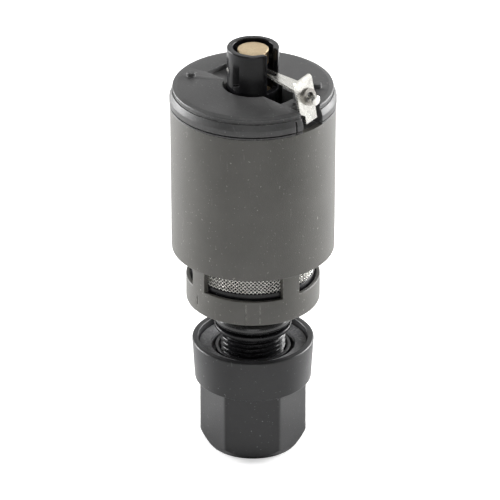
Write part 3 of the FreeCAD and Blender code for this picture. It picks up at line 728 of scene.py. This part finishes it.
nutSize = {"flats": 24.0, "turn": -46, "hexTop": 18.7, "corner": 13.7, "footRadius": 11.6, "chamfer": 3.3,
           "rounding": 0.12, "skirtBase": 15.0, "skirtTop": 15.7, "top": 30.0, "dish": 14.05,
           "dishFloor": 27.0,
           "groove": 10.7, "grooveFloor": 24.6, "collar": 9.7, "collarTop": 27.7, "collarMouth": 8.95,
           "threadBore": 8.58, "threadFloor": 11.8, "throat": 4.6, "outlet": 5.72, "outletDepth": 11.0}


def softMin(first, second, rounding):
    low = min(first, second)
    return low - rounding * math.log(math.exp((low - first) / rounding) + math.exp((low - second) / rounding))


def hexRadius(radius, height, angle):
    # six flats with rounded corners, and a cone that rounds off their feet
    d = nutSize
    if height > d["hexTop"] - 0.01 or radius < d["footRadius"] - 0.05:
        return radius
    side = (math.degrees(angle) - d["turn"] + 30) % 60 - 30
    flat = d["flats"] / 2 / math.cos(math.radians(side))
    hexagon = softMin(flat, d["corner"], d["rounding"])
    slope = (14.4 - d["footRadius"]) / d["chamfer"]
    cone = d["footRadius"] + height * slope
    return softMin(hexagon, cone, d["rounding"])


def bowlNut():
    d = nutSize
    rows = [(14.0, 0.12 * k) for k in range(1, 45)] + [(14.0, h) for h in (8, 12, 16, d["hexTop"] - 0.1)]
    nut = lathe("bowlNut", [(d["outlet"], 0, 0.4), (d["footRadius"], 0, 0.15)] + rows + [
        (d["skirtBase"], d["hexTop"], 0.5), (d["skirtTop"], d["top"], 0.5), (d["dish"], d["top"], 0.3),
        (d["dish"], d["dishFloor"], 0.3), (d["groove"], d["dishFloor"], 0.15),
        (d["groove"], d["grooveFloor"]),
        (d["collar"], d["grooveFloor"]), (d["collar"], d["collarTop"], 0.2),
        (d["collarMouth"], d["collarTop"], 0.1), (d["threadBore"], d["collarTop"] - 0.6),
        (d["threadBore"], d["threadFloor"]), (d["throat"], d["threadFloor"]), (d["throat"], d["outletDepth"]),
        (d["outlet"], d["outletDepth"])], 360, hexRadius)
    place(nut, "nut", "satin_nylon", "bowl_nut")


floatShell()
floatLid()
guideTube()
brassPlunger()
floatLever()
leverEyelet()
floatPin()
strainerCage()
strainerHoop()
strainerMesh()
drainStem()
neckSeal()
bowlWasher()
bowlNut()
print("pieces made")

# inner pieces keep their own shape
for part in frame["record"]["subparts"]:
    node = nodes[part["node"]]
    node.data.materials.clear()
    node.data.materials.append(finishes[part["material_slot"]])
print("inner pieces finished")


# floor, light and camera

def areaLight(name, power, size, lampSpot, aim, sizeY=None):
    data = bpy.data.lights.new(name, "AREA")
    data.energy = power
    data.shape = "RECTANGLE"
    data.size = size
    data.size_y = sizeY or size
    lamp = bpy.data.objects.new(name, data)
    scene.collection.objects.link(lamp)
    lamp.location = lampSpot
    lamp.rotation_euler = (Vector(aim) - Vector(lampSpot)).to_track_quat("-Z", "Y").to_euler()
    return lamp


# each softbox: power, distance to the right, towards the camera and up, then its width and height
studioLight = {"floorLift": 0.5, "fill": 0.17, "boxes": {
    "overheadSoftbox": (1.9, 0.0, 0.0, 0.9, 0.3, 0.3),
    "leftSoftbox": (26.0, -0.85, -0.4, 0.1, 0.5, 0.9),
    "rightSoftbox": (26.0, 0.85, -0.4, 0.1, 0.5, 0.9),
    "backSoftbox": (1.8, 0.0, -0.95, 0.5, 1.3, 0.45),
    "backRightSoftbox": (4.0, 0.6, -0.8, 0.45, 0.4, 0.4),
    "frontSoftbox": (1.8, 0.0, 1.1, 0.25, 0.7, 0.5)}}


def studio():
    floorMaterial, tree, shader = startMaterial("paleFloor")
    shader.inputs["Roughness"].default_value = 0.85
    spot = tree.nodes.new("ShaderNodeTexCoord").outputs["Object"]
    tree.links.new(mixColor(tree, rangeNode(tree, noiseNode(tree, spot, 6.0), 0.4, 0.6), (0.90, 0.90, 0.90),
                            (0.91, 0.91, 0.91)), shader.inputs["Base Color"])
    # the floor is lifted to near white where it is looked at, and lights nothing more for it
    seen = tree.nodes.new("ShaderNodeLightPath").outputs["Is Camera Ray"]
    shader.inputs["Emission Color"].default_value = (1, 1, 1, 1)
    tree.links.new(mathNode(tree, "MULTIPLY", seen, studioLight["floorLift"]),
                   shader.inputs["Emission Strength"])
    # seen from below, the floor lets the nut's underside show
    facing = tree.nodes.new("ShaderNodeNewGeometry").outputs["Backfacing"]
    tree.links.new(mathNode(tree, "SUBTRACT", 1.0, facing), shader.inputs["Alpha"])
    bpy.ops.mesh.primitive_plane_add(size=6, location=(0, 0, cadBox[0][2] - 0.05 * mm))
    floor = bpy.context.object
    floor.name = "floor"
    floor.data.materials.append(floorMaterial)
    world = bpy.data.worlds.new("studioWorld")
    world.use_nodes = True
    sky = world.node_tree.nodes["Background"]
    sky.inputs["Color"].default_value = (1.0, 1.0, 1.0, 1)
    looked = world.node_tree.nodes.new("ShaderNodeLightPath").outputs["Is Camera Ray"]
    world.node_tree.links.new(rangeNode(world.node_tree, looked, 0.0, 1.0, studioLight["fill"], 1.0),
                              sky.inputs["Strength"])
    scene.world = world
    right = Vector((0.7071, 0.7071, 0))
    toCamera = Vector((0.7071, -0.7071, 0))
    up = Vector((0, 0, 1))
    for name, (power, across, near, height, size, sizeY) in studioLight["boxes"].items():
        lampSpot = right * across + toCamera * near + up * height
        areaLight(name, power, size, tuple(lampSpot), (0, 0, 0.06), sizeY)


def camera():
    elevation = math.radians(27.5)
    distance = 1.48
    right = Vector((0.7071, 0.7071, 0))
    toCamera = Vector((0.7071 * math.cos(elevation), -0.7071 * math.cos(elevation), math.sin(elevation)))
    target = Vector((0, 0, 0.0547)) - right * 0.00077
    data = bpy.data.cameras.new("camera")
    data.sensor_width = 36
    data.lens = 417
    data.clip_start = 0.1
    data.clip_end = 30
    view = bpy.data.objects.new("camera", data)
    scene.collection.objects.link(view)
    view.location = target + toCamera * distance
    view.rotation_euler = (-toCamera).to_track_quat("-Z", "Y").to_euler()
    scene.camera = view


studio()
camera()
scene.view_settings.view_transform = "Standard"
print("studio made")
